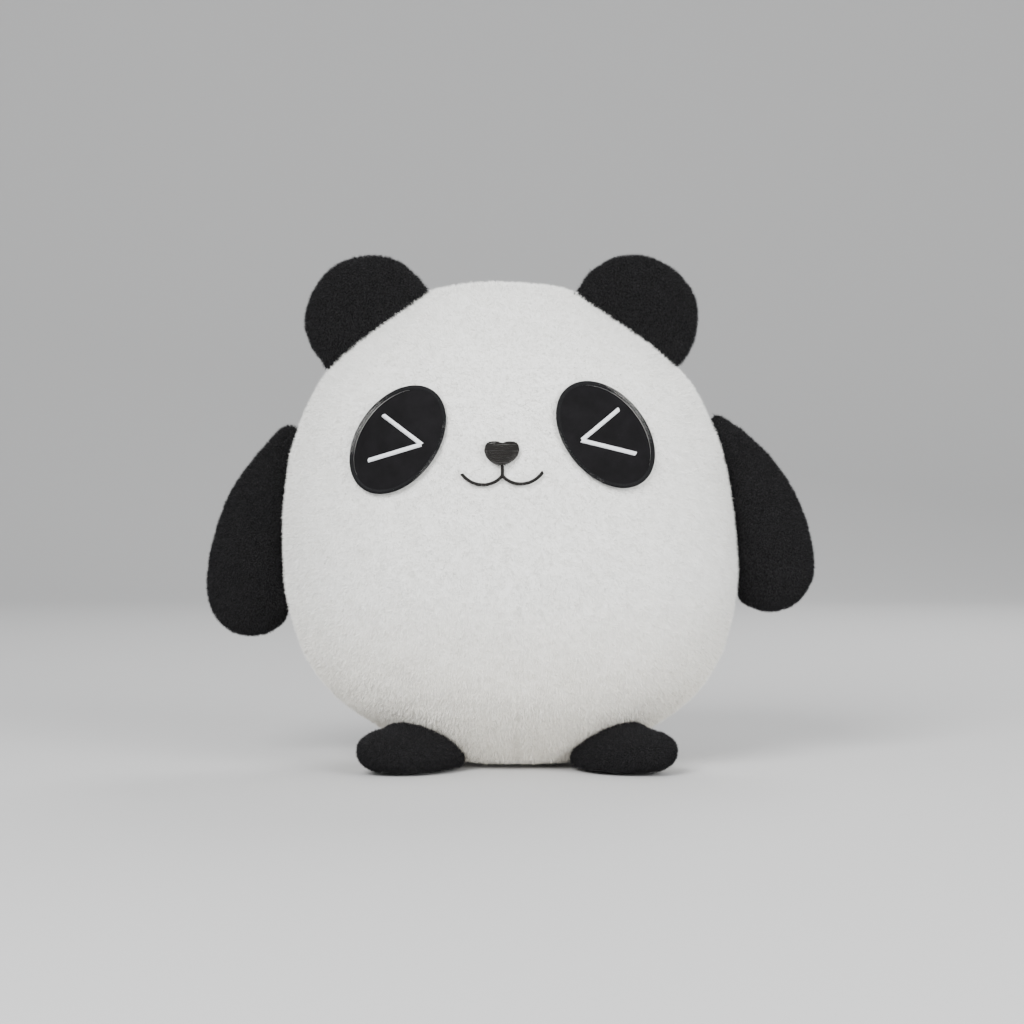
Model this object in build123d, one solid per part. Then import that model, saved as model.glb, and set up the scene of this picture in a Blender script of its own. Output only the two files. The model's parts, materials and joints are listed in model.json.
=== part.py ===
from build123d import *
import math
import os

# Plush panda, in millimetres. +Z is up, the face looks toward -Y, and the flat
# base rests on Z = 0 below the middle of the toy. "left" and "right" are the
# sides seen by someone who looks at the face: left is -X, right is +X.

SIDES = {"left": -1, "right": 1}

# Body: one round stuffed bag on a flat oval base
body_width = 228.0
body_depth = 160.0
crown_height = 241.5
widest_height = 99.5
base_width = 66.0
base_seam = 0.1          # gap that the seam leaves all round the base
base_x = 2.5            # middle of the base, and of the two feet
crown_x = -5.5          # middle of the crown: the toy leans a little to one side
body_fabric = 2.5       # backing cloth with its pile
side_to_crown = [(0.960, 0.355), (0.860, 0.585), (0.649, 0.785),
                 (0.404, 0.932), (0.263, 0.980), (0.0, 1.0)]
side_to_base = [(0.925, 0.427), (0.715, 0.729)]

# Limb skins and what fills them
limb_fabric = 2.0
stuffing_clearance = 0.4

# Ears: two round panels, lightly stuffed, sewn on along a straight base seam
ear_radius = 33.5
ear_thickness = 20.0
ear_rise = 1.5          # centre of the round outline above the middle of the seam
ear_set_forward = 9.0
ear_seam_height = 218.5
ear_seam_curve = 111.0  # radius of the seam, which follows the head
ear_seam_gap = 1.8
ear_seam_edge = 0.8     # thickness of the flattened ear at its seam
ear_taper = 34.0        # slope of the ear's faces as they leave the seam, degrees
ear_angles = {"left": 42.0, "right": 37.0}

# Arms: two egg-shaped panels each, stuffed, sewn on by their narrow ends
arm_lengths = {"left": 108.0, "right": 102.0}
arm_width = 51.0
arm_thickness = 27.0
arm_back_set = 8.0      # middle plane of the arms behind the side seams
arm_body_gap = 1.2
arm_hang_angles = {"left": 14.3, "right": 20.0}
shoulder_heights = {"left": 168.5, "right": 172.5}
shoulder_stand_off = 3.0
arm_root_radius = 10.0
arm_tip_radius = 23.0

# Ring of thread that ties each arm to the body
stitch_ring_radius = 5.5
stitch_thread = 1.2
stitch_clearance = 0.4

# Feet: an upper and a flat sole each, stuffed, sewn under the belly
foot_length = 60.0
foot_width = 36.0
foot_height = 25.0
foot_root_radius = 7.0
foot_toe_radius = 15.0
foot_root = (26.0, -21.0, 4.5)   # from the middle of the base, outward
foot_splay = 35.0
foot_rise = 8.0
foot_body_gap = 0.6
foot_seam_reach = 4.0   # from the root point to the seam that the foot bends at
sole_thickness = 2.0

# Face, laid out flat and symmetrical, then turned with the lean of the head
face_x = -4.6
face_tilt = 1.4
eye_spacing = 98.0
eye_height = 162.2
eye_length = 55.0
eye_width = 37.0
eye_lean = 38.0
felt_thickness = 1.2
edge_stitch_width = 1.6
edge_stitch_height = 1.7
satin_width = 1.9
satin_height = 0.8
wink_upper = (-6.4, 11.6)
wink_point = (11.7, -2.7)
wink_lower = (-13.8, -9.5)
nose_width = 16.4
nose_height = 11.1
nose_bottom = 148.5
nose_thickness = 1.8
nose_dip = 1.1           # dip in the middle of its top
nose_shares = ((0.62, 1.0), (1.0, 0.64), (0.52, 0.20))   # across its half width, up its height
mouth_width = 38.0
mouth_top = 144.4
mouth_drop = 4.7
mouth_line = 1.7
mouth_height = 1.2
mouth_lift = 1.2         # how far its ends turn up past its middle

# Closing seam up the middle of the back, sewn by hand from outside
closing_low = 62.0
closing_high = 118.0
closing_pitch = 5.6
closing_stitch = (4.4, 1.0)
closing_height = 0.8

# Ballast that keeps the toy upright
pouch_width = 84.0
pouch_depth = 58.0
pouch_height = 24.0
pouch_cloth = 0.6
pouch_clearance = 0.4
FAR = 400.0


def arc_chain(points, heading):
    """Arcs through points, each leaving the last without a corner."""
    arcs = []
    for start, end in zip(points, points[1:]):
        arcs.append(Edge.make_tangent_arc(start, heading, end))
        heading = arcs[-1].tangent_at(1)
    return arcs


def body_outline(grow=0.0):
    """Arcs from the widest point up to the crown, and from there down to the base."""
    half = body_width / 2 + grow
    crown, widest, base = crown_height + grow, widest_height, -grow
    upper = [(half, widest)] + [(half * r, widest + (crown - widest) * z) for r, z in side_to_crown]
    lower = [(half, widest)] + [(half * r, widest - (widest - base) * z) for r, z in side_to_base]
    lower.append((base_width / 2 + grow / 2, base))
    upper, lower = [[Vector(x, 0, z) for x, z in points] for points in (upper, lower)]
    return arc_chain(upper, Vector(0, 0, 1)), arc_chain(lower, Vector(0, 0, -1))


def half_width_at(height):
    """Half width of the body at a height, found along its outline."""
    upper, lower = body_outline()
    side = Wire(upper if height > widest_height else lower)
    low, high = 0.0, 1.0
    for _ in range(40):
        middle = (low + high) / 2
        if abs(side.position_at(middle).Z - widest_height) < abs(height - widest_height):
            low = middle
        else:
            high = middle
    return side.position_at(low).X


def centre_x_at(height):
    return base_x + (crown_x - base_x) * height / crown_height


def side_x(side, height):
    """Where the outline of the leaning body is, on one side, at a height."""
    return centre_x_at(height) + SIDES[side] * half_width_at(height)


def leaned(shape, depth_share=1.0):
    lean = (crown_x - base_x) / crown_height
    return shape.transform_geometry(Matrix([[1, 0, lean, base_x], [0, depth_share, 0, 0], [0, 0, 1, 0]]))


def grown_half_outline(grow):
    """Closed half outline, grown by the same amount at the side, crown and base."""
    upper, lower = body_outline(grow)
    top, edge = upper[-1].position_at(1), lower[-1].position_at(1)
    floor = Vector(0, 0, edge.Z)
    return make_face([*upper, *lower, Line(edge, floor), Line(floor, top)])


def body_form(grow=0.0):
    """The whole stuffed body as one solid, grown or shrunk on every side."""
    round_form = revolve(grown_half_outline(grow), Axis.Z)
    depth_share = (body_depth / 2 + grow) / (body_width / 2 + grow)
    return leaned(round_form.solid(), depth_share)


def body_shadow(grow):
    """The body's front outline as a prism along Y, for pieces that pass beside it."""
    half = grown_half_outline(grow)
    whole = half + mirror(half, Plane.YZ)
    return leaned(extrude(whole, amount=FAR / 2, dir=(0, 1, 0), both=True).solid())


def block(low, high):
    size = [b - a for a, b in zip(low, high)]
    return Pos(*low) * Box(*size, align=(Align.MIN, Align.MIN, Align.MIN))


def front_half(y=0.0):
    return block((-FAR, -FAR, -FAR), (FAR, y, FAR))


def back_half(y=0.0):
    return block((-FAR, y, -FAR), (FAR, FAR, FAR))


def pouch_form(grow=0.0):
    """Low oval cushion of ballast on the floor of the body."""
    floor = body_fabric + stuffing_clearance + pouch_height / 2
    cushion = scale(Sphere(1), by=(pouch_width / 2 + grow, pouch_depth / 2 + grow, pouch_height / 2 + grow))
    return Pos(base_x, 0, floor) * cushion


def wall_sector(section, start, sweep):
    """Part of the round wall from one angle to another, made oval and leaned."""
    sector = Rot(0, 0, start) * revolve(section, Axis.Z, revolution_arc=sweep)
    return leaned(sector.solid(), body_depth / body_width)


def make_body():
    walls = grown_half_outline(0) - grown_half_outline(-body_fabric)
    corner = (base_width / 2, 0, body_fabric)
    opening = Polyline((0, 0, 0), (corner[0], 0, 0), corner, (0, 0, body_fabric), close=True)
    sides = walls - make_face(opening)
    half_base = base_width / 2 - base_seam
    base = Ellipse(half_base, half_base * body_depth / body_width)
    core = body_form(-body_fabric - stuffing_clearance)
    return {
        "body_front_panel": wall_sector(sides, 180, 180),
        "body_back_left_panel": wall_sector(sides, 90, 90),
        "body_back_right_panel": wall_sector(sides, 0, 90),
        "body_base_panel": Pos(base_x, 0, 0) * extrude(base, body_fabric),
        "body_stuffing": core - pouch_form(pouch_clearance),
        "pellet_pouch": pouch_form() - pouch_form(-pouch_cloth),
        "pellet_fill": pouch_form(-pouch_cloth - pouch_clearance),
    }


def stuffed_panels(name, form, fabric, cut_y, panels):
    """Two facing panels cut from one form, and the stuffing between them."""
    skin = form(0) - form(fabric)
    return {
        f"{name}_{panels[0]}": skin & front_half(cut_y),
        f"{name}_{panels[1]}": skin & back_half(cut_y),
        f"{name}_stuffing": form(fabric + stuffing_clearance),
    }


def ear_frame(side):
    """Plane whose origin is mid seam, X along the seam and Y up through the ear."""
    sign, angle = SIDES[side], math.radians(ear_angles[side])
    up = Vector(sign * math.sin(angle), 0, math.cos(angle))
    half = half_width_at(ear_seam_height)
    forward_share = ear_set_forward / (half * body_depth / body_width)
    half *= math.sqrt(1 - forward_share ** 2)
    middle = Vector(centre_x_at(ear_seam_height) + sign * half, -ear_set_forward, ear_seam_height)
    return Plane(origin=middle + up * ear_seam_gap, x_dir=Vector(up.Z, 0, -up.X), z_dir=(0, -1, 0))


def ear_form(side, inset):
    """Round cushion that thins to its seam along the curve of the head."""
    radius = ear_radius - inset
    disc = Pos(0, ear_rise, 0) * scale(Sphere(1), by=(radius, radius, ear_thickness / 2 - inset))
    spread = math.tan(math.radians(ear_taper))
    edge = ear_seam_edge / 2
    start = ear_seam_curve + inset / math.sin(math.radians(ear_taper))
    reach = 3 * ear_radius
    wedge = Polyline((start, 0, edge), (start + reach, 0, edge + spread * reach),
                     (start + reach, 0, -edge - spread * reach), (start, 0, -edge), close=True)
    taper = Pos(0, -ear_seam_curve, 0) * revolve(make_face(wedge), Axis.Z)
    return (ear_frame(side).location * (disc & taper)) - body_form(ear_seam_gap + inset)


def shoulder(side):
    """Point at the top of the arm that it swings and lifts about."""
    height = shoulder_heights[side]
    return Vector(side_x(side, height) + SIDES[side] * shoulder_stand_off, arm_back_set, height)


def egg_side_radius(length, width, root, toe):
    """Radius of the arc that joins an egg's two end arcs and gives its width."""
    half, run = width / 2, length - root - toe
    low, high = half, 50 * length
    for _ in range(60):
        radius = (low + high) / 2
        reach = math.sqrt((half - root) * (2 * radius - root - half))
        reach += math.sqrt((half - toe) * (2 * radius - toe - half))
        low, high = (radius, high) if reach < run else (low, radius)
    return radius


def egg(length, width, thickness, root, toe):
    """Egg with its narrow end at the origin and its long axis down -Z."""
    radius, half = egg_side_radius(length, width, root, toe), width / 2
    down = math.sqrt((half - root) * (2 * radius - root - half))
    centre = Vector(half - radius, 0, -root - down)
    root_centre, toe_centre = Vector(0, 0, -root), Vector(0, 0, toe - length)
    root_join = centre + (root_centre - centre).normalized() * radius
    toe_join = centre + (toe_centre - centre).normalized() * radius
    side = arc_chain([Vector(), root_join, toe_join, Vector(0, 0, -length)], Vector(1, 0, 0))
    section = make_face([*side, Line((0, 0, -length), (0, 0, 0))])
    return scale(revolve(section, Axis.Z), by=(1, thickness / width, 1))


def stitch_ring(side):
    """Ring of thread between the body's side and the arm, square to X."""
    place = shoulder(side)
    return Pos(*place) * Rot(0, 90, 0) * Torus(stitch_ring_radius, stitch_thread / 2)


def ring_room(side):
    """The space in front of the body that the ring and its clearance take up."""
    place, sign = shoulder(side), SIDES[side]
    radius = stitch_ring_radius + stitch_thread / 2 + stitch_clearance
    outer = stitch_thread / 2 + stitch_clearance
    align = (Align.CENTER, Align.CENTER, Align.MAX)
    room = Rot(0, 90, 0) * Cylinder(radius, FAR / 10 + outer, align=align)
    room = Pos(outer, 0, 0) * room
    return Pos(*place) * (room if sign > 0 else mirror(room, Plane.YZ))


def arm_form(side, inset):
    """Stuffed arm that hangs against the body's side from its narrow end."""
    full = egg(arm_lengths[side] - 2 * inset, arm_width - 2 * inset, arm_thickness - 2 * inset,
               arm_root_radius - inset, arm_tip_radius - inset)
    hung = Rot(0, -SIDES[side] * arm_hang_angles[side], 0) * Pos(0, 0, -inset) * full
    hung = Pos(*shoulder(side)) * hung
    beside = hung - body_shadow(arm_body_gap + inset)
    return beside - ring_room(side) if inset == 0 else beside


def foot_direction(side):
    splay, rise = math.radians(foot_splay), math.radians(foot_rise)
    flat = math.cos(rise)
    return Vector(SIDES[side] * math.cos(splay) * flat, -math.sin(splay) * flat, math.sin(rise))


def foot_root_point(side):
    return Vector(base_x + SIDES[side] * foot_root[0], foot_root[1], foot_root[2])


def foot_frame(side):
    """Plane at the foot's seam: origin on the ground, X level along the seam."""
    out = foot_direction(side)
    out = Vector(out.X, out.Y, 0).normalized()
    root = foot_root_point(side)
    origin = Vector(root.X, root.Y, 0) + out * foot_seam_reach
    return Plane(origin=origin, x_dir=out, z_dir=(0, 0, 1))


def foot_form(side, inset):
    """Egg laid flat, cut by the ground, by the belly above it and at its seam."""
    full = egg(foot_length - 2 * inset, foot_width - 2 * inset, foot_height - 2 * inset,
               foot_root_radius - inset, foot_toe_radius - inset)
    laid = Rot(0, -90, 0) * Rot(0, 0, 90) * Pos(0, 0, -inset) * full
    out = foot_direction(side)
    turn = math.degrees(math.atan2(out.Y, out.X))
    placed = Pos(*foot_root_point(side)) * Rot(0, 0, turn) * Rot(0, -foot_rise, 0) * laid
    beyond = foot_frame(side).location * block((inset, -FAR, inset), (FAR, FAR, FAR))
    return (placed & beyond) - body_form(foot_body_gap + inset)


def make_ear(side):
    return stuffed_panels(f"{side}_ear", lambda inset: ear_form(side, inset), limb_fabric,
                          -ear_set_forward, ("front_panel", "back_panel"))


def make_arm(side):
    parts = stuffed_panels(f"{side}_arm", lambda inset: arm_form(side, inset), limb_fabric,
                           arm_back_set, ("front_panel", "back_panel"))
    parts[f"{side}_shoulder_stitches"] = stitch_ring(side)
    return parts


def make_foot(side):
    skin = foot_form(side, 0) - foot_form(side, limb_fabric)
    sole_layer = block((-FAR, -FAR, -FAR), (FAR, FAR, sole_thickness))
    return {
        f"{side}_foot_upper": skin - sole_layer,
        f"{side}_foot_sole": skin & sole_layer,
        f"{side}_foot_stuffing": foot_form(side, limb_fabric + stuffing_clearance),
    }


def on_front(sketch):
    """Turns a flat face drawing with the head and stands it in front of the toy."""
    drawing = Rot(0, 0, face_tilt) * Pos(0, -nose_bottom, 0) * sketch
    front = Plane(origin=(face_x, 0, nose_bottom), x_dir=(1, 0, 0), z_dir=(0, -1, 0))
    return front.location * drawing


def raised(sketch, low, high):
    """The part of the layer from low to high over the body's front under a drawing."""
    prism = extrude(on_front(sketch), amount=FAR / 2, dir=(0, -1, 0))
    return (prism & body_form(high)) - body_form(low)


def eye_oval(side, grow=0.0):
    oval = Ellipse(eye_width / 2 + grow, eye_length / 2 + grow)
    centre = Pos(SIDES[side] * eye_spacing / 2, eye_height, 0)
    return centre * Rot(0, 0, SIDES[side] * eye_lean) * oval


def line_of(points, width):
    return trace(Polyline(*points), line_width=width)


def wink(side):
    """Two straight lines of satin stitch that meet toward the nose."""
    centre, sign = Vector(SIDES[side] * eye_spacing / 2, eye_height), SIDES[side]
    points = [(centre.X - sign * x, centre.Y + y) for x, y in (wink_upper, wink_point, wink_lower)]
    return line_of(points, satin_width)


def nose_outline():
    """Rounded heart, point down."""
    right = [(x * nose_width / 2, nose_bottom + y * nose_height) for x, y in nose_shares]
    left = [(-x, y) for x, y in reversed(right)]
    top = nose_bottom + nose_height - nose_dip
    return make_face(Spline((0, top), *right, (0, nose_bottom), *left, periodic=True))


def mouth_outline():
    """Two shallow arcs below a short line from the nose."""
    half = mouth_width / 2
    drop, end = mouth_top - mouth_drop, mouth_top + mouth_lift
    arcs = [ThreePointArc((0, mouth_top), (sign * half / 2, drop), (sign * half, end))
            for sign in SIDES.values()]
    stem = Line((0, nose_bottom - mouth_line / 3), (0, mouth_top - mouth_line / 3))
    return trace([*arcs, stem], line_width=mouth_line)


def make_face_pieces():
    edge = edge_stitch_width / 2
    parts = {
        "nose_embroidery": raised(nose_outline(), 0, nose_thickness),
        "mouth_embroidery": raised(mouth_outline(), 0, mouth_height),
    }
    for side in SIDES:
        rim = eye_oval(side, edge) - eye_oval(side, -edge)
        parts[f"{side}_eye_patch"] = raised(eye_oval(side, -edge), 0, felt_thickness)
        parts[f"{side}_eye_edge_stitching"] = raised(rim, 0, edge_stitch_height)
        parts[f"{side}_eye_wink"] = raised(wink(side), felt_thickness, felt_thickness + satin_height)
    return parts


def make_closing_stitches():
    """Short bars of thread across the seam up the middle of the back."""
    count = round((closing_high - closing_low) / closing_pitch) + 1
    bars = Sketch()
    for index in range(count):
        height = closing_low + index * closing_pitch
        bars += Pos(centre_x_at(height), height) * SlotOverall(*closing_stitch)
    prism = extrude(Plane.XZ * bars, amount=FAR / 2, dir=(0, 1, 0))
    return (prism & body_form(closing_height)) - body_form()


def make_all():
    parts = make_body()
    for side in SIDES:
        parts |= make_ear(side) | make_arm(side) | make_foot(side)
    parts |= make_face_pieces()
    parts["back_closing_stitches"] = make_closing_stitches()
    return parts


def joint_points():
    """Where the joints turn, printed for the record."""
    for side in SIDES:
        print(f"{side}_ear_fold", tuple(ear_frame(side).origin), tuple(ear_frame(side).x_dir))
        print(f"{side}_shoulder", tuple(shoulder(side)))
        print(f"{side}_foot_flex", tuple(foot_frame(side).origin), tuple(foot_frame(side).y_dir))


os.makedirs("parts", exist_ok=True)
for node, shape in make_all().items():
    export_step(shape, f"parts/{node}.step")
joint_points()
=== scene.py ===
import json
import math

import bmesh
import bpy
import numpy as np
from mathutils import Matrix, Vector, noise
from mathutils.bvhtree import BVHTree


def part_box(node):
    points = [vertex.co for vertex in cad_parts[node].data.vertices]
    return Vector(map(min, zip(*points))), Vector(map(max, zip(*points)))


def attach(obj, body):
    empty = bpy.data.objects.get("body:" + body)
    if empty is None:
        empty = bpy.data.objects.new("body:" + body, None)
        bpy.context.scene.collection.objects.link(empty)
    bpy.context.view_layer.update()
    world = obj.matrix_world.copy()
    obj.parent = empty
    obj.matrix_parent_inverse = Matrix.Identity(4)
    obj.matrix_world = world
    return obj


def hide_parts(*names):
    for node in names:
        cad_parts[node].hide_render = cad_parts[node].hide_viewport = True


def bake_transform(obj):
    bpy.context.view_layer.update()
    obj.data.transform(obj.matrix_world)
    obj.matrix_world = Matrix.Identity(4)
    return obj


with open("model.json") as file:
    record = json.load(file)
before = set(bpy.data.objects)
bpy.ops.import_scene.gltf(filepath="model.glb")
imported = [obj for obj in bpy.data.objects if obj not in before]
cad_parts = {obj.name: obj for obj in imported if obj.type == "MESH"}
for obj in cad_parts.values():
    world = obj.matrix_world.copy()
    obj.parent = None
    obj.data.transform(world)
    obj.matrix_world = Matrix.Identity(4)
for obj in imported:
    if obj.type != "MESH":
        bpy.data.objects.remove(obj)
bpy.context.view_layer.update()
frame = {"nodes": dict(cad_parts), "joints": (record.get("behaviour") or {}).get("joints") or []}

SIDES = {"left": -1, "right": 1}
joints = {joint["name"]: joint for joint in frame["joints"]}

# Cloth and pile, in metres
pile_inset = 0.0015       # how far the white cloth lies under the ends of its pile
limb_inset = 0.0006       # the same for the black cloth of the ears, arms and feet
white_pile = 0.0026       # length of the longest fibres
black_pile = 0.0025
fibre_width = 0.00032
seam_depth = 0.0007
sewn_in = 0.0012          # how far a limb's root goes into the pile of the body
seam_width = 0.0022
sim_frames = 20

# Embroidery
thread = 0.00024          # radius of one thread of satin stitch
stitch_pitch = 0.00042
felt_height = 0.0012
eye_length, eye_width = 0.055, 0.037
eye_lean, face_tilt = math.radians(38), math.radians(1.4)
line_half = 0.00085
nose_height, nose_half = 0.0111, 0.0082
mouth_half, mouth_drop = 0.019, 0.0047
wink_corners = ((-0.0064, 0.0116), (0.0117, -0.0027), (-0.0138, -0.0095))

# Camera and studio
camera_distance, lens = 1.21, 85
camera_height_angle = math.radians(0.8)
look_at = Vector((0, 0, 0.126))


# ---- Materials ----

def new_material(name):
    made = bpy.data.materials.new(name)
    made.use_nodes = True
    tree = made.node_tree
    return made, tree.nodes, tree.links, tree.nodes["Principled BSDF"]


def noise_on_object(nodes, links, scale, detail, rough=0.6):
    """Noise in object space, so that it stays with the piece."""
    place = nodes.new("ShaderNodeTexCoord")
    speckle = nodes.new("ShaderNodeTexNoise")
    speckle.inputs["Scale"].default_value = scale
    speckle.inputs["Detail"].default_value = detail
    speckle.inputs["Roughness"].default_value = rough
    links.new(place.outputs["Object"], speckle.inputs["Vector"])
    return speckle.outputs["Fac"]


def ramp_between(nodes, links, factor, low, high, span=(0.3, 0.7)):
    ramp = nodes.new("ShaderNodeValToRGB")
    ramp.color_ramp.elements[0].position, ramp.color_ramp.elements[1].position = span
    ramp.color_ramp.elements[0].color, ramp.color_ramp.elements[1].color = (*low, 1), (*high, 1)
    links.new(factor, ramp.inputs["Fac"])
    return ramp.outputs["Color"]


def add_bump(nodes, links, shader, heights, distance, strength):
    normal = None
    for height in heights:
        bump = nodes.new("ShaderNodeBump")
        bump.inputs["Distance"].default_value = distance
        bump.inputs["Strength"].default_value = strength
        links.new(height, bump.inputs["Height"])
        if normal:
            links.new(normal, bump.inputs["Normal"])
        normal = bump.outputs["Normal"]
    links.new(normal, shader.inputs["Normal"])


def painted_floor_bounce(nodes, links, colour, floor_bounce_cream):
    """Painted floor reflection: tints a colour toward the warm cream of the floor at the foot of the toy,
    where light bounces up from it.
    """
    place = nodes.new("ShaderNodeTexCoord")
    split = nodes.new("ShaderNodeSeparateXYZ")
    height = nodes.new("ShaderNodeMapRange")
    height.inputs["From Min"].default_value, height.inputs["From Max"].default_value = 0.0, 0.09
    height.inputs["To Min"].default_value, height.inputs["To Max"].default_value = 0.55, 0.0
    mix = nodes.new("ShaderNodeMix")
    mix.data_type = "RGBA"
    first, second = [socket for socket in mix.inputs if socket.type == "RGBA"]
    second.default_value = (*floor_bounce_cream, 1)
    links.new(place.outputs["Object"], split.inputs["Vector"])
    links.new(split.outputs["Z"], height.inputs["Value"])
    links.new(height.outputs["Result"], mix.inputs[0])
    links.new(colour, first)
    return [socket for socket in mix.outputs if socket.type == "RGBA"][0]


def plush(name, deep, tip, sheen, clump=260, floor_bounce_cream=None):
    """Short brushed pile: matt, mottled where the fibres lean together, pale at the rim."""
    made, nodes, links, shader = new_material(name)
    clumps = noise_on_object(nodes, links, clump, 3)
    colour = ramp_between(nodes, links, clumps, deep, tip)
    # painted floor reflection: the white cloth turns cream toward the bottom
    colour = painted_floor_bounce(nodes, links, colour, floor_bounce_cream) if floor_bounce_cream else colour
    links.new(colour, shader.inputs["Base Color"])
    shader.inputs["Roughness"].default_value = 0.92
    shader.inputs["Specular IOR Level"].default_value = 0.25
    shader.inputs["Sheen Weight"].default_value = sheen
    shader.inputs["Sheen Roughness"].default_value = 0.45
    fine = noise_on_object(nodes, links, clump * 9, 4, 0.7)
    add_bump(nodes, links, shader, (clumps, fine), 0.0009, 0.55)
    return made


def fibre(name, root, tip, sheen, floor_bounce_cream=None):
    """The single fibres that stand out of the pile."""
    made, nodes, links, shader = new_material(name)
    patches = noise_on_object(nodes, links, 900, 2)
    colour = ramp_between(nodes, links, patches, root, tip)
    # painted floor reflection: the white fibres turn cream toward the bottom
    colour = painted_floor_bounce(nodes, links, colour, floor_bounce_cream) if floor_bounce_cream else colour
    links.new(colour, shader.inputs["Base Color"])
    shader.inputs["Roughness"].default_value = 0.8
    shader.inputs["Specular IOR Level"].default_value = 0.2
    shader.inputs["Sheen Weight"].default_value = sheen
    shader.inputs["Sheen Roughness"].default_value = 0.5
    return made


def felt(name):
    """Smooth felted cloth with a faint nap."""
    made, nodes, links, shader = new_material(name)
    nap = noise_on_object(nodes, links, 1500, 5, 0.75)
    drift = noise_on_object(nodes, links, 120, 2)
    links.new(ramp_between(nodes, links, drift, (0.0028, 0.0026, 0.0030), (0.0052, 0.0048, 0.0056)),
              shader.inputs["Base Color"])
    shader.inputs["Roughness"].default_value = 0.78
    shader.inputs["Specular IOR Level"].default_value = 0.10
    shader.inputs["Sheen Weight"].default_value = 0.01
    shader.inputs["Sheen Roughness"].default_value = 0.4
    add_bump(nodes, links, shader, (nap,), 0.0003, 0.6)
    return made


def satin(name, dark, light, gloss, shine):
    """Rayon embroidery thread: glossy along its length, with fine plies."""
    made, nodes, links, shader = new_material(name)
    plies = noise_on_object(nodes, links, 2600, 2)
    links.new(ramp_between(nodes, links, plies, dark, light), shader.inputs["Base Color"])
    shader.inputs["Roughness"].default_value = gloss
    shader.inputs["Specular IOR Level"].default_value = shine
    shader.inputs["Anisotropic"].default_value = 0.5
    add_bump(nodes, links, shader, (plies,), 0.00008, 0.5)
    return made


def loose_fill(name, colour):
    made, nodes, links, shader = new_material(name)
    curls = noise_on_object(nodes, links, 420, 6, 0.8)
    dark = tuple(c * 0.8 for c in colour)
    links.new(ramp_between(nodes, links, curls, dark, colour), shader.inputs["Base Color"])
    shader.inputs["Roughness"].default_value = 0.9
    add_bump(nodes, links, shader, (curls,), 0.002, 0.8)
    return made


def woven(name, colour):
    made, nodes, links, shader = new_material(name)
    place = nodes.new("ShaderNodeTexCoord")
    weave = nodes.new("ShaderNodeTexWave")
    weave.inputs["Scale"].default_value = 900
    links.new(place.outputs["Object"], weave.inputs["Vector"])
    dark = tuple(c * 0.75 for c in colour)
    links.new(ramp_between(nodes, links, weave.outputs["Fac"], dark, colour), shader.inputs["Base Color"])
    shader.inputs["Roughness"].default_value = 0.85
    add_bump(nodes, links, shader, (weave.outputs["Fac"],), 0.0003, 0.5)
    return made


# colour of the painted floor reflection on the lower white plush and its fibres
floor_bounce_cream = (0.86, 0.80, 0.68)
white_cloth = plush("white_plush_cloth", (0.80, 0.795, 0.77), (0.87, 0.87, 0.85), 0.2, 200, floor_bounce_cream)
white_fibre = fibre("white_pile_fibre", (0.84, 0.835, 0.81), (0.92, 0.92, 0.90), 0.15, floor_bounce_cream)
black_cloth = plush("black_plush_cloth", (0.0030, 0.0030, 0.0035), (0.0085, 0.0080, 0.0090), 0.05)
black_fibre = fibre("black_pile_fibre", (0.004, 0.004, 0.0045), (0.018, 0.017, 0.019), 0.07)
black_felt = felt("black_felt")
white_satin = satin("white_satin_thread", (0.66, 0.67, 0.70), (0.86, 0.87, 0.90), 0.38, 0.5)
dark_satin = satin("dark_satin_thread", (0.006, 0.0055, 0.005), (0.018, 0.016, 0.015), 0.6, 0.15)
grey_satin = satin("edge_satin_thread", (0.003, 0.003, 0.0035), (0.012, 0.012, 0.013), 0.7, 0.12)
seam_thread = satin("seam_thread", (0.70, 0.70, 0.67), (0.84, 0.84, 0.81), 0.55, 0.4)
stuffing = loose_fill("polyester_stuffing", (0.88, 0.88, 0.87))
pellets = loose_fill("plastic_pellets", (0.70, 0.71, 0.73))
pouch = woven("pouch_cloth", (0.74, 0.73, 0.69))


# ---- Shapes taken from the frame ----

def surface_of(*names):
    """Ray tree over the surfaces of some CAD nodes."""
    points, faces = [], []
    for name in names:
        mesh = frame["nodes"][name].data
        start = len(points)
        points += [v.co.copy() for v in mesh.vertices]
        faces += [[start + i for i in p.vertices] for p in mesh.polygons]
    return BVHTree.FromPolygons(points, faces)


def middle_of(*names):
    boxes = [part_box(name) for name in names]
    low = Vector(min(b[0][i] for b in boxes) for i in range(3))
    high = Vector(max(b[1][i] for b in boxes) for i in range(3))
    return (low + high) / 2, (high - low)


def in_scene(mesh, name, material=None):
    made = bpy.data.objects.new(name, mesh)
    bpy.context.scene.collection.objects.link(made)
    if material:
        mesh.materials.clear()
        mesh.materials.append(material)
    return made


def finished(piece):
    """Replaces a piece's mesh with what its modifiers make of it."""
    shape = piece.evaluated_get(bpy.context.evaluated_depsgraph_get())
    mesh = bpy.data.meshes.new_from_object(shape)
    piece.modifiers.clear()
    piece.data = mesh
    return piece


def wrapped(name, nodes, inset, detail=5):
    """A closed ball drawn in onto the outside of some CAD nodes, a little inside it."""
    surface, (centre, size) = surface_of(*nodes), middle_of(*nodes)
    ball = bmesh.new()
    bmesh.ops.create_icosphere(ball, subdivisions=detail, radius=1)
    reach = size.length
    for vertex in ball.verts:
        out = Vector([a * b for a, b in zip(vertex.co, size)]).normalized()
        hit = surface.ray_cast(centre + out * reach, -out)[0]
        vertex.co = hit if hit else centre
    bmesh.ops.recalc_face_normals(ball, faces=ball.faces)
    ball.normal_update()
    for vertex in ball.verts:
        vertex.co -= vertex.normal * inset
    mesh = bpy.data.meshes.new(name)
    ball.to_mesh(mesh)
    ball.free()
    return in_scene(mesh, name)


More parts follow.
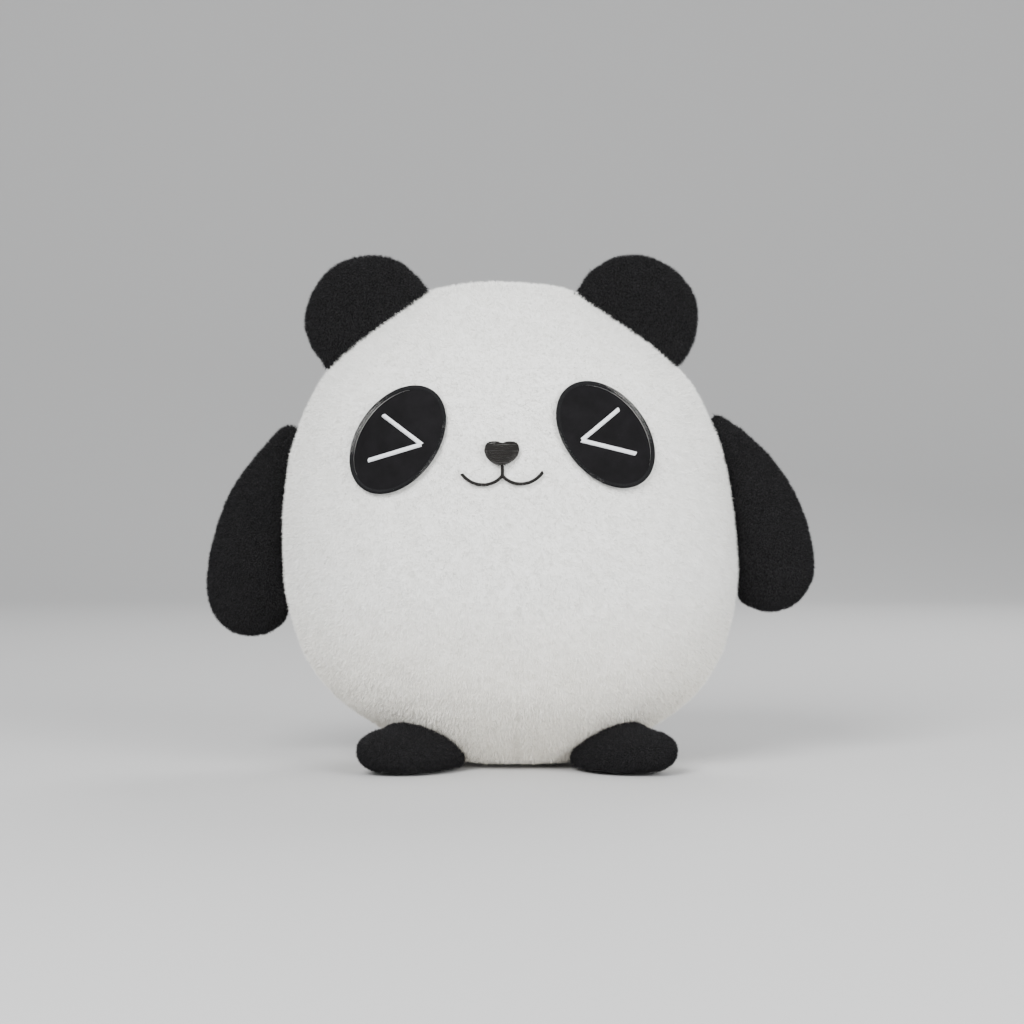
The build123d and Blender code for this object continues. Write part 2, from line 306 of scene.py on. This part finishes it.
def even_mesh(piece, voxel):
    remesh = piece.modifiers.new("even", "REMESH")
    remesh.mode, remesh.voxel_size = "VOXEL", voxel
    return finished(piece)


def coordinates(mesh):
    flat = np.empty(len(mesh.vertices) * 3, np.float32)
    mesh.vertices.foreach_get("co", flat)
    return flat.reshape(-1, 3).astype(float)


def set_coordinates(mesh, points):
    mesh.vertices.foreach_set("co", points.astype(np.float32).ravel())
    mesh.update()


def stuffed(piece, held, pressure, cap):
    """Blows the skin out with cloth simulation. Points near a seam are held by it."""
    before = coordinates(piece.data)
    seams = piece.vertex_groups.new(name="seams")
    for index, point in enumerate(before):
        strength = held(point)
        if strength > 0.02:
            seams.add([index], strength, "REPLACE")
    cloth = piece.modifiers.new("cloth", "CLOTH")
    cloth.settings.quality = 4
    cloth.settings.mass = 0.2
    cloth.settings.use_pressure = True
    cloth.settings.uniform_pressure_force = pressure
    cloth.settings.effector_weights.gravity = 0
    cloth.settings.vertex_group_mass = "seams"
    cloth.settings.tension_stiffness = cloth.settings.compression_stiffness = 12
    cloth.settings.bending_stiffness = 0.4
    cloth.collision_settings.use_collision = False
    cloth.point_cache.frame_start, cloth.point_cache.frame_end = 1, sim_frames
    for step in range(1, sim_frames + 1):
        bpy.context.scene.frame_set(step)
    shape = piece.evaluated_get(bpy.context.evaluated_depsgraph_get())
    after = coordinates(shape.to_mesh())
    shape.to_mesh_clear()
    piece.modifiers.clear()
    bpy.context.scene.frame_set(1)
    moved = after - before
    far = np.linalg.norm(moved, axis=1, keepdims=True)
    moved *= np.minimum(1, cap / np.maximum(far, 1e-9))
    set_coordinates(piece.data, before + moved)
    return piece


def smoother(piece, rounds=3):
    """Takes the voxel steps out of a remeshed skin and keeps its size."""
    skin = bmesh.new()
    skin.from_mesh(piece.data)
    for factor in (0.5, -0.52) * rounds:
        bmesh.ops.smooth_vert(skin, verts=skin.verts, factor=factor, use_axis_x=True,
                              use_axis_y=True, use_axis_z=True)
    skin.to_mesh(piece.data)
    skin.free()
    return piece


def subdivided(piece, levels=1):
    fine = piece.modifiers.new("fine", "SUBSURF")
    fine.levels = fine.render_levels = levels
    return finished(piece)


def worked(piece, seam_distance, clump, depth):
    """Presses in the seams and raises the soft clumps of the pile."""
    mesh = piece.data
    points = coordinates(mesh)
    normals = np.array([v.normal[:] for v in mesh.vertices])
    lift = np.empty(len(points))
    for index, point in enumerate(points):
        broad = noise.fractal(Vector(point * 45), 1.0, 2.0, 3)
        small = noise.fractal(Vector(point * clump), 0.8, 2.0, 3)
        pull = math.exp(-(seam_distance(point) / seam_width) ** 2)
        pucker = 1 + 0.5 * noise.noise(Vector(point * 210))
        lift[index] = 0.0006 * broad + depth * small - seam_depth * pull * pucker
    set_coordinates(mesh, points + normals * lift[:, None])
    for face in mesh.polygons:
        face.use_smooth = True
    return piece


def pile(name, skin, count, length, material, seed, keep=None, flow=(0, 0, -0.35)):
    """Single fibres rooted all over a skin, leaning a little the way it was brushed."""
    random = np.random.default_rng(seed)
    mesh = skin.data
    mesh.calc_loop_triangles()
    points = coordinates(mesh)
    corners = np.empty(len(mesh.loop_triangles) * 3, np.int32)
    mesh.loop_triangles.foreach_get("vertices", corners)
    a, b, c = (points[corners.reshape(-1, 3)[:, i]] for i in range(3))
    face = np.cross(b - a, c - a)
    area = np.linalg.norm(face, axis=1)
    normal = face / np.maximum(area, 1e-12)[:, None]
    if keep:
        area = area * keep((a + b + c) / 3)
    picked = random.choice(len(area), count, p=area / area.sum())
    u, v = random.random((2, count, 1))
    folded = (u + v) > 1
    u, v = np.where(folded, 1 - u, u), np.where(folded, 1 - v, v)
    root = a[picked] * (1 - u - v) + b[picked] * u + c[picked] * v
    out = normal[picked]
    lean = out + np.array(flow) + random.normal(0, 0.38, (count, 3))
    lean /= np.linalg.norm(lean, axis=1, keepdims=True)
    tall = length * random.uniform(0.55, 1.12, (count, 1))
    side = np.cross(lean, random.normal(0, 1, (count, 3)))
    side *= fibre_width / 2 / np.linalg.norm(side, axis=1, keepdims=True)
    root = root - out * 0.0003
    corners = np.stack([root - side, root + side, root + lean * tall], axis=1).reshape(-1, 3)
    made = bpy.data.meshes.new(name)
    made.vertices.add(count * 3)
    made.vertices.foreach_set("co", corners.astype(np.float32).ravel())
    made.loops.add(count * 3)
    made.loops.foreach_set("vertex_index", np.arange(count * 3, dtype=np.int32))
    made.polygons.add(count)
    made.polygons.foreach_set("loop_start", np.arange(0, count * 3, 3, dtype=np.int32))
    made.update(calc_edges=True)
    flat = made.uv_layers.new(name="OFBake")
    columns = math.ceil(math.sqrt(count))
    cell = np.stack(np.divmod(np.arange(count), columns), axis=1) / columns
    spots = np.array([[0.1, 0.1], [0.8, 0.1], [0.1, 0.8]]) / columns
    flat.data.foreach_set("uv", (cell[:, None] + spots[None]).astype(np.float32).ravel())
    return in_scene(made, name, material)


# ---- Body ----

body_nodes = ("body_front_panel", "body_back_left_panel", "body_back_right_panel", "body_base_panel")
seam_low, seam_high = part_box("back_closing_stitches")
base_middle, base_size = middle_of("body_base_panel")
face_nodes = [n for n in frame["nodes"] if "_eye_" in n or n.endswith("_embroidery")]
head = surface_of(*body_nodes)


def body_seam(point):
    """Distance to the nearest seam between the body's panels."""
    x, y, z = point
    across = math.hypot((x - base_middle.x) / base_size.x, y / base_size.y) * 2
    to_base = abs(across - 1) * base_size.y / 2 if z < 0.02 else 1
    if across < 1 and z < 0.02:
        return to_base
    to_side = abs(y)
    to_back = abs(x - back_seam_x(z)) if y > 0.005 else 1
    to_dart = abs(x - base_middle.x) if y < 0 and z < 0.030 else 1
    return min(to_side, to_back, to_dart, to_base)


def back_seam_x(height):
    """The back seam follows the lean of the body; its hand-sewn stretch gives the slope."""
    low_x = (seam_low.x + seam_high.x) / 2
    middle = (seam_low.z + seam_high.z) / 2
    slope = (low_x - base_middle.x) / middle
    return base_middle.x + slope * height


def make_body():
    skin = even_mesh(wrapped("body_skin", body_nodes, pile_inset, 6), 0.0052)
    smoother(skin)
    stuffed(skin, lambda p: math.exp(-(body_seam(p) / 0.003) ** 2), 5.0, 0.0011)
    subdivided(skin)
    worked(skin, body_seam, 330, 0.00030)
    points = coordinates(skin.data)
    points[:, 2] = np.maximum(points[:, 2], 0.0003)
    set_coordinates(skin.data, points)
    skin.data.materials.append(white_cloth)
    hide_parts(*body_nodes)
    return skin


def clear_of_face(points):
    """0 under the embroidery and the patches, where the pile is sewn flat."""
    cover = surface_of(*face_nodes)
    allowed = np.ones(len(points))
    front = Vector((0, -1, 0))
    for index, point in enumerate(points):
        if point[1] < 0 and cover.ray_cast(Vector(point) + front * 0.01, -front, 0.02)[0]:
            allowed[index] = 0
    return allowed


def sector(low_angle, high_angle):
    def keep(points):
        angle = np.degrees(np.arctan2(points[:, 1], points[:, 0] - base_middle.x)) % 360
        chosen = ((angle >= low_angle) & (angle < high_angle)).astype(float)
        return chosen * (points[:, 2] > 0.004)
    return keep


# ---- Ears, arms and feet ----

def limb_seam(nodes):
    """Distance to the seam between a limb's two panels, at the level where they meet."""
    level = (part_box(nodes[0])[1].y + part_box(nodes[1])[0].y) / 2
    return lambda point: abs(point[1] - level)


def against_body(piece, reach, slack):
    """Brings the side of a limb that faces the body up to it, each point by at most its slack."""
    mesh = piece.data
    mesh.update()
    for vertex in mesh.vertices:
        near, _, _, far = head.find_nearest(vertex.co)
        toward = near - vertex.co
        if 1e-6 < far < reach:
            facing = max(0.0, vertex.normal.dot(toward / far))
            share = min(1.0, facing * 1.6) * (1 - (far / reach) ** 3)
            move = toward * share * (1 + sewn_in / far)
            vertex.co += move * min(1.0, slack(vertex.co) / max(move.length, 1e-9))
    return piece


def filling_of(name, skin, node, depth=0.0022):
    """The stuffing that fills a skin, a little smaller all round."""
    inner = skin.data.copy()
    inner.name = name
    points = coordinates(inner)
    normals = np.array([v.normal[:] for v in inner.vertices])
    set_coordinates(inner, points - normals * depth)
    made = in_scene(inner, name, stuffing)
    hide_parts(node)
    return made


def finish_limb(limb, skin, nodes, seam, voxel, cap):
    """Evens, stuffs and covers a limb's skin; gives back the filling inside it."""
    even_mesh(skin, voxel)
    smoother(skin)
    filling = filling_of(f"{limb}_filling", skin, f"{limb}_stuffing")
    stuffed(skin, lambda p: 0.8 * math.exp(-(seam(p) / 0.002) ** 2), 4.0, cap)
    subdivided(skin)
    worked(skin, seam, 420, 0.00035)
    skin.data.materials.append(black_cloth)
    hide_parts(*nodes)
    return filling


def ear(side):
    nodes = [f"{side}_ear_front_panel", f"{side}_ear_back_panel"]
    joint = joints[f"{side}_ear_fold"]
    seam, along = Vector(joint["pos_m"]), Vector(joint["axis"])
    up = Vector((0, -1, 0)).cross(along).normalized()
    up = up if up.z > 0 else -up
    corners = [v.co - seam for name in nodes for v in frame["nodes"][name].data.vertices]
    top = max(c.dot(up) for c in corners)
    radius = (max(c.dot(along) for c in corners) - min(c.dot(along) for c in corners)) / 2
    half = (max(c.y for c in corners) - min(c.y for c in corners)) / 2
    centre = seam + up * (top - radius)
    disc = bmesh.new()
    bmesh.ops.create_icosphere(disc, subdivisions=5, radius=1)
    for vertex in disc.verts:
        x, y, z = vertex.co
        point = centre + along * x * (radius - limb_inset) + up * z * (radius - limb_inset)
        rise = (point - seam).dot(up)
        fullness = 0.62 + 0.38 * min(1.0, max(0.0, rise / 0.016))
        point.y += y * (half - limb_inset) * fullness
        hit = head.ray_cast(point + up * 0.08, -up)[0]
        if hit:
            sunk = (hit - point).dot(up) - 0.0025
            point += up * max(0.0, sunk)
        vertex.co = point
    mesh = bpy.data.meshes.new(f"{side}_ear_skin")
    disc.to_mesh(mesh)
    disc.free()
    skin = in_scene(mesh, f"{side}_ear_skin")
    filling = finish_limb(f"{side}_ear", skin, nodes, limb_seam(nodes), 0.003, 0.0016)
    fuzz = pile(f"{side}_ear_pile", skin, 52000, black_pile, black_fibre, 11 + SIDES[side])
    for piece in (skin, fuzz, filling):
        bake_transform(piece)
    return skin, fuzz


def arm(side):
    nodes = [f"{side}_arm_front_panel", f"{side}_arm_back_panel"]
    shoulder = Vector(joints[f"{side}_arm_raise"]["pos_m"])

    def slack(point):
        return 0.0008 + 0.010 * max(0.0, 1 - (point - shoulder).length / 0.030)

    skin = wrapped(f"{side}_arm_skin", nodes, limb_inset, 6)
    for vertex in skin.data.vertices:
        near_root = max(0.0, 1 - (vertex.co - shoulder).length / 0.024)
        vertex.co += Vector((-SIDES[side] * 0.003, 0, 0.004)) * near_root
    against_body(skin, 0.010, slack)
    filling = finish_limb(f"{side}_arm", skin, nodes, limb_seam(nodes), 0.0035, 0.0016)
    fuzz = pile(f"{side}_arm_pile", skin, 80000, black_pile, black_fibre, 21 + SIDES[side])
    for piece in (skin, fuzz, filling):
        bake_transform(piece)
    return skin, fuzz


def foot(side):
    nodes = [f"{side}_foot_upper", f"{side}_foot_sole"]
    sole_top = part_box(nodes[1])[1].z
    skin = against_body(wrapped(f"{side}_foot_skin", nodes, limb_inset, 6), 0.007,
                        lambda point: 0.010)
    filling = finish_limb(f"{side}_foot", skin, nodes, lambda p: abs(p[2] - sole_top), 0.0028, 0.0012)
    points = coordinates(skin.data)
    points[:, 2] = np.maximum(points[:, 2], 0.0004)
    set_coordinates(skin.data, points)
    fuzz = pile(f"{side}_foot_pile", skin, 42000, black_pile * 0.85, black_fibre, 31 + SIDES[side],
                keep=lambda centres: centres[:, 2] > 0.0025)
    joint = joints[f"{side}_foot_flex"]
    out = Vector((0, 0, 1)).cross(Vector(joint["axis"])).normalized()
    out = out if out.y < 0 else -out
    for piece in (skin, fuzz, filling):
        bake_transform(piece)
    return skin, fuzz


# ---- Embroidery ----

def on_head(x, z, lift):
    """Point above the face, lift metres out of its cloth."""
    hit, normal = head.ray_cast(Vector((x, -0.3, z)), Vector((0, 1, 0)))[:2]
    if normal.y > 0:
        normal = -normal
    return hit + normal * lift


def threads(name, runs, radius, material):
    """Round threads along runs of points, as one mesh."""
    curve = bpy.data.curves.new(name, "CURVE")
    curve.dimensions = "3D"
    curve.bevel_depth, curve.bevel_resolution = radius, 1
    curve.use_fill_caps = True
    for run in runs:
        spline = curve.splines.new("POLY")
        spline.points.add(len(run) - 1)
        for spot, point in zip(spline.points, run):
            spot.co = (*point, 1)
    holder = bpy.data.objects.new(name, curve)
    bpy.context.scene.collection.objects.link(holder)
    shape = holder.evaluated_get(bpy.context.evaluated_depsgraph_get())
    mesh = bpy.data.meshes.new_from_object(shape)
    bpy.data.objects.remove(holder)
    for face in mesh.polygons:
        face.use_smooth = True
    return in_scene(mesh, name, material)


def arched(start, end, low, rise, steps=5):
    """One stitch from start to end over the face, highest in its middle."""
    run = []
    for step in range(steps + 1):
        share = step / steps
        x, z = (a + (b - a) * share for a, b in zip(start, end))
        run.append(on_head(x, z, low + rise * math.sin(math.pi * share)))
    return run


def across_line(points, half, low, rise, slant=0.35):
    """Stitches laid side by side across a drawn line."""
    runs = []
    for (x0, z0), (x1, z1) in zip(points, points[1:]):
        length = math.hypot(x1 - x0, z1 - z0)
        along = ((x1 - x0) / length, (z1 - z0) / length)
        count = max(2, round(length / stitch_pitch))
        for index in range(count):
            share = (index + 0.5) / count
            x, z = x0 + (x1 - x0) * share, z0 + (z1 - z0) * share
            dx = -along[1] * half + along[0] * half * slant
            dz = along[0] * half + along[1] * half * slant
            runs.append(arched((x - dx, z - dz), (x + dx, z + dz), low, rise, 4))
    return runs


def tilted(point, centre, angle):
    x, z = point
    return (centre[0] + x * math.cos(angle) - z * math.sin(angle),
            centre[1] + x * math.sin(angle) + z * math.cos(angle))


def eye(side):
    sign = SIDES[side]
    middle = middle_of(f"{side}_eye_patch")[0]
    centre = (middle.x, middle.z)
    turn = sign * eye_lean + face_tilt
    count = round(math.pi * (eye_length + eye_width) / 2 / stitch_pitch)
    edge = []
    for index in range(count):
        angle = 2 * math.pi * index / count
        inner, outer = [], []
        for grow, spot, shift in ((-0.0011, inner, 0.5), (0.0009, outer, -0.5)):
            bearing = angle + shift * 2 * math.pi / count
            flat = ((eye_width / 2 + grow) * math.cos(bearing), (eye_length / 2 + grow) * math.sin(bearing))
            spot.extend(tilted(flat, centre, turn))
        run = arched(inner, outer, felt_height * 0.75, 0.0006, 4)
        edge.append(run)
    edging = threads(f"{side}_eye_edging", edge, thread, grey_satin)
    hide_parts(f"{side}_eye_edge_stitching")
    corners = [tilted((-sign * x, z), centre, face_tilt) for x, z in wink_corners]
    wink = threads(f"{side}_wink_satin", across_line(corners, line_half, felt_height + 0.0001, 0.0006),
                   thread, white_satin)
    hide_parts(f"{side}_eye_wink")
    return edging, wink


def nose():
    """Rows of satin stitch across the nose, split in two over the dip at its top."""
    low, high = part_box("nose_embroidery")
    centre, bottom = (low.x + high.x) / 2, low.z + 0.0002
    heights = (0, 0.08, 0.20, 0.38, 0.62, 0.84, 0.95, 1.0)
    widths = (0.16, 0.42, 0.68, 0.90, 1.0, 0.95, 0.84, 0.68)
    runs, rows = [], round(nose_height / stitch_pitch)
    for row in range(rows):
        share = (row + 0.5) / rows
        z = bottom + share * nose_height
        half = nose_half * float(np.interp(share, heights, widths))
        dip = max(0.0, (share - 0.93) / 0.07) * 0.22 * nose_half
        spans = ((-half, half),) if dip == 0 else ((-half, -dip), (dip, half))
        for start, end in spans:
            ends = [(centre + start, z), (centre + end, z + (end - start) * math.tan(face_tilt))]
            runs.append(arched(*ends, 0.0007, 0.0013, 8))
    made = threads("nose_satin", runs, thread, dark_satin)
    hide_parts("nose_embroidery")
    return made


def mouth():
    low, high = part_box("mouth_embroidery")
    nose_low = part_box("nose_embroidery")[0].z
    centre = ((low.x + high.x) / 2, low.z + mouth_drop + line_half * 0.8)
    radius = ((mouth_half / 2) ** 2 + mouth_drop ** 2) / (2 * mouth_drop)
    half_angle = math.asin(mouth_half / 2 / radius)
    runs = []
    for sign in SIDES.values():
        arc = []
        for step in range(13):
            angle = half_angle * (2 * step / 12 - 1)
            x = sign * (mouth_half / 2 + radius * math.sin(angle))
            z = radius * (math.cos(half_angle) - math.cos(angle)) + 0.0013 * step / 12
            arc.append(tilted((x, z), centre, face_tilt))
        runs += across_line(arc, line_half * 0.78, 0.0004, 0.0006)
    stem = [(centre[0], nose_low + 0.0004), (centre[0], centre[1])]
    runs += across_line(stem, line_half * 0.78, 0.0004, 0.0006)
    made = threads("mouth_satin", runs, thread, dark_satin)
    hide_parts("mouth_embroidery")
    return made


def back_stitches():
    """The ladder of hand stitches that closes the back seam."""
    count, reach = 11, 0.0021
    runs = []
    for index in range(count):
        z = seam_low.z + (seam_high.z - seam_low.z) * (index + 0.5) / count
        run = []
        for share in (-1, -0.6, 0, 0.6, 1):
            x = back_seam_x(z) + reach * share
            hit, normal = head.ray_cast(Vector((x, 0.3, z)), Vector((0, -1, 0)))[:2]
            lift = 0.0004 - 0.0012 * abs(share) ** 3
            run.append(hit + (normal if normal.y > 0 else -normal) * lift + Vector((0, 0, 0.0006 * share)))
        runs.append(run)
    made = threads("back_ladder_stitches", runs, 0.0004, seam_thread)
    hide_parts("back_closing_stitches")
    return made


def shoulder_stitches(side):
    """Whip stitches round the root of an arm."""
    node = f"{side}_shoulder_stitches"
    centre, size = middle_of(node)
    ring, count = size.y / 2 - 0.0016, 12
    centre.z -= size.z / 2 + 0.004
    runs = []
    for index in range(count):
        angle = 2 * math.pi * index / count
        run = []
        for share in (-1, -0.4, 0.4, 1):
            bearing = angle + share * 0.16
            radius = ring + 0.0003 * (1 - share * share)
            turn = Vector((0, math.cos(bearing), math.sin(bearing)))
            run.append(centre + Vector((share * 0.0004, 0, 0)) + turn * radius)
        runs.append(run)
    made = threads(f"{side}_shoulder_whipping", runs, 0.00035, dark_satin)
    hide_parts(node)
    return made


# ---- Studio ----

def sweep():
    """Pale floor that curves up into the back wall."""
    drawn = bmesh.new()
    profile = [(-4.0, 0.0), (1.6, 0.0)]
    for step in range(1, 17):
        angle = math.pi / 2 * step / 16
        profile.append((1.6 + 1.2 * math.sin(angle), 1.2 * (1 - math.cos(angle))))
    profile.append((2.8, 5.0))
    line = [drawn.verts.new((-5, y, z)) for y, z in profile]
    edges = [drawn.edges.new(pair) for pair in zip(line, line[1:])]
    grown = bmesh.ops.extrude_edge_only(drawn, edges=edges)["geom"]
    bmesh.ops.translate(drawn, vec=(10, 0, 0), verts=[g for g in grown if isinstance(g, bmesh.types.BMVert)])
    bmesh.ops.recalc_face_normals(drawn, faces=drawn.faces)
    mesh = bpy.data.meshes.new("backdrop")
    drawn.to_mesh(mesh)
    drawn.free()
    for face in mesh.polygons:
        face.use_smooth = True
    made, _, _, shader = new_material("pale_backdrop")
    shader.inputs["Base Color"].default_value = (0.52, 0.52, 0.52, 1)
    shader.inputs["Roughness"].default_value = 0.8
    return in_scene(mesh, "backdrop", made)


def studio():
    world = bpy.data.worlds.new("studio")
    bpy.context.scene.world = world
    world.use_nodes = True
    world.node_tree.nodes["Background"].inputs["Color"].default_value = (0.86, 0.87, 0.88, 1)
    world.node_tree.nodes["Background"].inputs["Strength"].default_value = 0.70
    sweep()
    for name, place, size, power in (("key", (-0.8, -1.7, 1.3), 1.2, 76), ("fill", (1.2, -1.4, 0.7), 1.3, 40),
                                     ("back", (0.5, 1.2, 1.2), 0.9, 16)):
        light = bpy.data.lights.new(name, "AREA")
        light.shape, light.size, light.energy = "DISK", size, power
        lamp = bpy.data.objects.new(name, light)
        lamp.location = place
        lamp.rotation_euler = (look_at - Vector(place)).to_track_quat("-Z", "Y").to_euler()
        bpy.context.scene.collection.objects.link(lamp)


def camera():
    made = bpy.data.cameras.new("camera")
    made.lens = lens
    holder = bpy.data.objects.new("camera", made)
    back = Vector((0, -math.cos(camera_height_angle), math.sin(camera_height_angle)))
    holder.location = look_at + back * camera_distance
    holder.rotation_euler = (-back).to_track_quat("-Z", "Y").to_euler()
    bpy.context.scene.collection.objects.link(holder)
    bpy.context.scene.camera = holder


# ---- Putting it together ----

camera()
studio()

skin = make_body()
on_body = [skin]
pieces_of_pile = (("body_front_pile", 180, 360, 190000, 1), ("body_back_right_pile", 0, 90, 95000, 2),
                  ("body_back_left_pile", 90, 180, 95000, 3))
for name, low, high, count, seed in pieces_of_pile:
    chosen = sector(low, high)
    keep = (lambda points, chosen=chosen: chosen(points) * clear_of_face(points))
    fuzz = pile(name, skin, count, white_pile, white_fibre, seed, keep)
    on_body.append(fuzz)

for side in SIDES:
    for limb in (ear, arm, foot):
        limb_skin, fuzz = limb(side)
    edging, wink = eye(side)
    on_body += [edging, wink]
    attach(shoulder_stitches(side), f"{side}_shoulder")
for piece in (nose(), mouth()):
    on_body.append(piece)
ladder = back_stitches()
on_body.append(ladder)
for piece in on_body:
    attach(piece, "body")

inner = {"eye_patch": black_felt, "stuffing": stuffing, "pellet_fill": pellets, "pellet_pouch": pouch}
for name, node in frame["nodes"].items():
    for ending, material in inner.items():
        if name.endswith(ending):
            node.data.materials.clear()
            node.data.materials.append(material)
